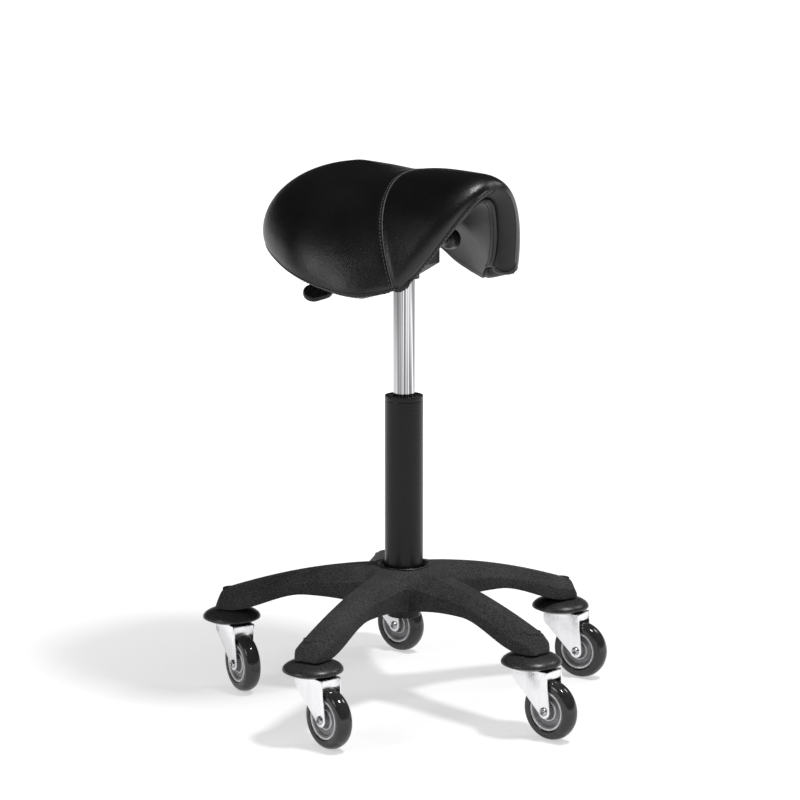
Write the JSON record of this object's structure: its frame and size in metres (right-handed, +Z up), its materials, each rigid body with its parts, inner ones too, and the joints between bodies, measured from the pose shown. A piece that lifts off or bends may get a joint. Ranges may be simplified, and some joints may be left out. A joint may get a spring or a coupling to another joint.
{
  "type": "saddle stool",
  "caption": "Saddle stool with an arched upholstered seat, tilting seat plate, gas lift column, release lever and a wheeled star base.",
  "frame": {"origin": "on the floor, under the middle of the whole stool's footprint", "axes": "+Z up, +X the way the sitter faces (towards the narrow arched front of the saddle), +Y to the sitter's left"},
  "size_m": [0.5428, 0.5198, 0.7021],
  "materials": {
    "black_nylon": "fine textured dark grey glass-filled nylon",
    "bright_steel": "bright plated, polished",
    "black_paint": "satin black powder coat",
    "grey_plastic": "grey, smooth satin",
    "zinc_steel": "bright zinc plate",
    "hood_plastic": "black, satin gloss",
    "smoky_tread": "smoky translucent polyurethane",
    "clear_core": "clear to pale grey",
    "soft_rubber": "black",
    "shell_plastic": "dark grey moulded",
    "liner_vinyl": "charcoal vinyl, satin",
    "seat_padding": "moulded polyurethane foam, hidden",
    "black_leather": "black, fine grain, soft sheen",
    "border_leather": "charcoal, fine grain"
  },
  "bodies": {
    "base": {"star_base": "black_nylon", "hub_insert": "bright_steel", "column_tube": "black_paint", "guide_bushing": "grey_plastic", "thrust_bearing": "zinc_steel", "caster_stem_1": "zinc_steel", "caster_stem_2": "zinc_steel", "caster_stem_3": "zinc_steel", "caster_stem_4": "zinc_steel", "caster_stem_5": "zinc_steel"},
    "spindle": {"piston_rod": "bright_steel", "rubber_bumper": "soft_rubber", "retaining_clip": "zinc_steel"},
    "lift": {"gas_cylinder": "bright_steel", "mechanism_housing": "grey_plastic", "lever_pin": "zinc_steel", "tilt_pin": "zinc_steel", "lock_screw": "zinc_steel", "lock_washer": "zinc_steel"},
    "seat": {"tilt_plate": "black_paint", "plate_screw_1": "zinc_steel", "plate_screw_2": "zinc_steel", "plate_screw_3": "zinc_steel", "plate_screw_4": "zinc_steel", "seat_shell": "shell_plastic", "underside_liner": "liner_vinyl", "seat_foam": "seat_padding", "rear_cover": "black_leather", "front_cover": "black_leather", "border_band": "border_leather"},
    "height_lever": {"release_lever": "black_paint", "lever_paddle": "shell_plastic"},
    "release_valve": {"valve_pin": "zinc_steel"},
    "tilt_lock": {"lock_knob": "hood_plastic"},
    "caster_1": {"caster_hood_1": "hood_plastic", "caster_fork_1": "zinc_steel", "caster_axle_1": "zinc_steel"},
    "wheel_1": {"caster_tyre_1": "smoky_tread", "caster_core_1": "clear_core"},
    "caster_2": {"caster_hood_2": "hood_plastic", "caster_fork_2": "zinc_steel", "caster_axle_2": "zinc_steel"},
    "wheel_2": {"caster_tyre_2": "smoky_tread", "caster_core_2": "clear_core"},
    "caster_3": {"caster_hood_3": "hood_plastic", "caster_fork_3": "zinc_steel", "caster_axle_3": "zinc_steel"},
    "wheel_3": {"caster_tyre_3": "smoky_tread", "caster_core_3": "clear_core"},
    "caster_4": {"caster_hood_4": "hood_plastic", "caster_fork_4": "zinc_steel", "caster_axle_4": "zinc_steel"},
    "wheel_4": {"caster_tyre_4": "smoky_tread", "caster_core_4": "clear_core"},
    "caster_5": {"caster_hood_5": "hood_plastic", "caster_fork_5": "zinc_steel", "caster_axle_5": "zinc_steel"},
    "wheel_5": {"caster_tyre_5": "smoky_tread", "caster_core_5": "clear_core"}
  },
  "joints": [
    {"name": "seat_swivel", "type": "hinge", "parent": "base", "child": "spindle", "pos_m": [-0.03272, 0.00628, 0.115], "axis": [0, 0, 1], "continuous": true},
    {"name": "seat_height", "type": "slide", "parent": "spindle", "child": "lift", "axis": [0, 0, 1], "range_m": [-0.14, 0]},
    {"name": "seat_tilt", "type": "hinge", "parent": "lift", "child": "seat", "pos_m": [-0.03272, 0.00628, 0.632], "axis": [0, 1, 0], "range_deg": [-6, 6]},
    {"name": "lever_pull", "type": "hinge", "parent": "lift", "child": "height_lever", "pos_m": [-0.03952, -0.01039, 0.607], "axis": [-0.9259, 0.3778, 0], "range_deg": [0, 5], "stiffness_Nm_per_rad": 2, "springref_deg": -5.73},
    {"name": "valve_press", "type": "slide", "parent": "lift", "child": "release_valve", "axis": [0, 0, -1], "range_m": [0, 0.0024]},
    {"name": "lock_turn", "type": "hinge", "parent": "lift", "child": "tilt_lock", "pos_m": [-0.01072, 0.00628, 0.602], "axis": [0, 1, 0], "range_deg": [0, 120]},
    {"name": "caster_1_swivel", "type": "hinge", "parent": "base", "child": "caster_1", "pos_m": [0.05871, 0.22168, 0.09], "axis": [0, 0, 1], "continuous": true},
    {"name": "wheel_1_spin", "type": "hinge", "parent": "caster_1", "child": "wheel_1", "pos_m": [0.09085, 0.22648, 0.0385], "axis": [-0.1478, 0.989, 0], "continuous": true},
    {"name": "caster_2_swivel", "type": "hinge", "parent": "base", "child": "caster_2", "pos_m": [-0.20933, 0.15979, 0.09], "axis": [0, 0, 1], "continuous": true},
    {"name": "wheel_2_spin", "type": "hinge", "parent": "caster_2", "child": "wheel_2", "pos_m": [-0.17683, 0.16008, 0.0385], "axis": [-0.0087, 1, 0], "continuous": true},
    {"name": "caster_3_swivel", "type": "hinge", "parent": "base", "child": "caster_3", "pos_m": [-0.2333, -0.11424, 0.09], "axis": [0, 0, 1], "continuous": true},
    {"name": "wheel_3_spin", "type": "hinge", "parent": "caster_3", "child": "wheel_3", "pos_m": [-0.20257, -0.12482, 0.0385], "axis": [0.3256, 0.9455, 0], "continuous": true},
    {"name": "caster_4_swivel", "type": "hinge", "parent": "base", "child": "caster_4", "pos_m": [0.01992, -0.22173, 0.09], "axis": [0, 0, 1], "continuous": true},
    {"name": "wheel_4_spin", "type": "hinge", "parent": "caster_4", "child": "wheel_4", "pos_m": [0.05202, -0.22681, 0.0385], "axis": [0.1564, 0.9877, 0], "continuous": true},
    {"name": "caster_5_swivel", "type": "hinge", "parent": "base", "child": "caster_5", "pos_m": [0.20039, -0.01412, 0.09], "axis": [0, 0, 1], "continuous": true},
    {"name": "wheel_5_spin", "type": "hinge", "parent": "caster_5", "child": "wheel_5", "pos_m": [0.23289, -0.0144, 0.0385], "axis": [0.0087, 1, 0], "continuous": true}
  ],
  "couplings": [
    {"joint": "valve_press", "follows": "lever_pull", "m_per_rad": 0.024}
  ]
}
